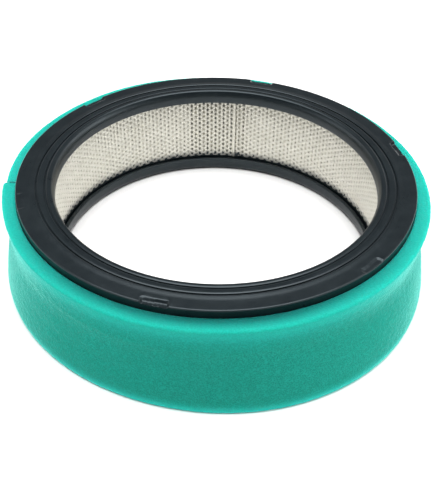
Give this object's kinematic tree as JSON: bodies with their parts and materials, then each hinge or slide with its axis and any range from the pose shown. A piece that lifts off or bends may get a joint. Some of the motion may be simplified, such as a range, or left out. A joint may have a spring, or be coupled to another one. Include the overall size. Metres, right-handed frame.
{
  "type": "ring air filter element with foam pre-cleaner",
  "caption": "Ring-shaped engine air filter element with moulded end caps, pleated paper between two screens and a pull-off foam pre-cleaner sleeve.",
  "frame": {"origin": "centre of the lower sealing face, on the bore axis; the element stands on the plane z = 0", "axes": "+Z along the bore axis, from the lower sealing face to the upper one; the pre-cleaner pulls off towards +Z"},
  "size_m": [0.2608, 0.2608, 0.0635],
  "materials": {
    "cap_rubber": "satin",
    "inner_screen_metal": "satin",
    "outer_screen_metal": "satin",
    "filter_paper": "matte",
    "clip_metal": "satin",
    "precleaner_foam": "matte",
    "seam_glue": "satin"
  },
  "bodies": {
    "element": {"lower_end_cap": "cap_rubber", "upper_end_cap": "cap_rubber", "inner_screen": "inner_screen_metal", "outer_screen": "outer_screen_metal", "pleated_media": "filter_paper", "media_seam_clip": "clip_metal"},
    "precleaner": {"foam_precleaner": "precleaner_foam", "precleaner_seam_glue": "seam_glue"}
  },
  "joints": [
    {"name": "precleaner_slide", "type": "slide", "parent": "element", "child": "precleaner", "axis": [0, 0, 1], "range_m": [0, 0.075]}
  ]
}
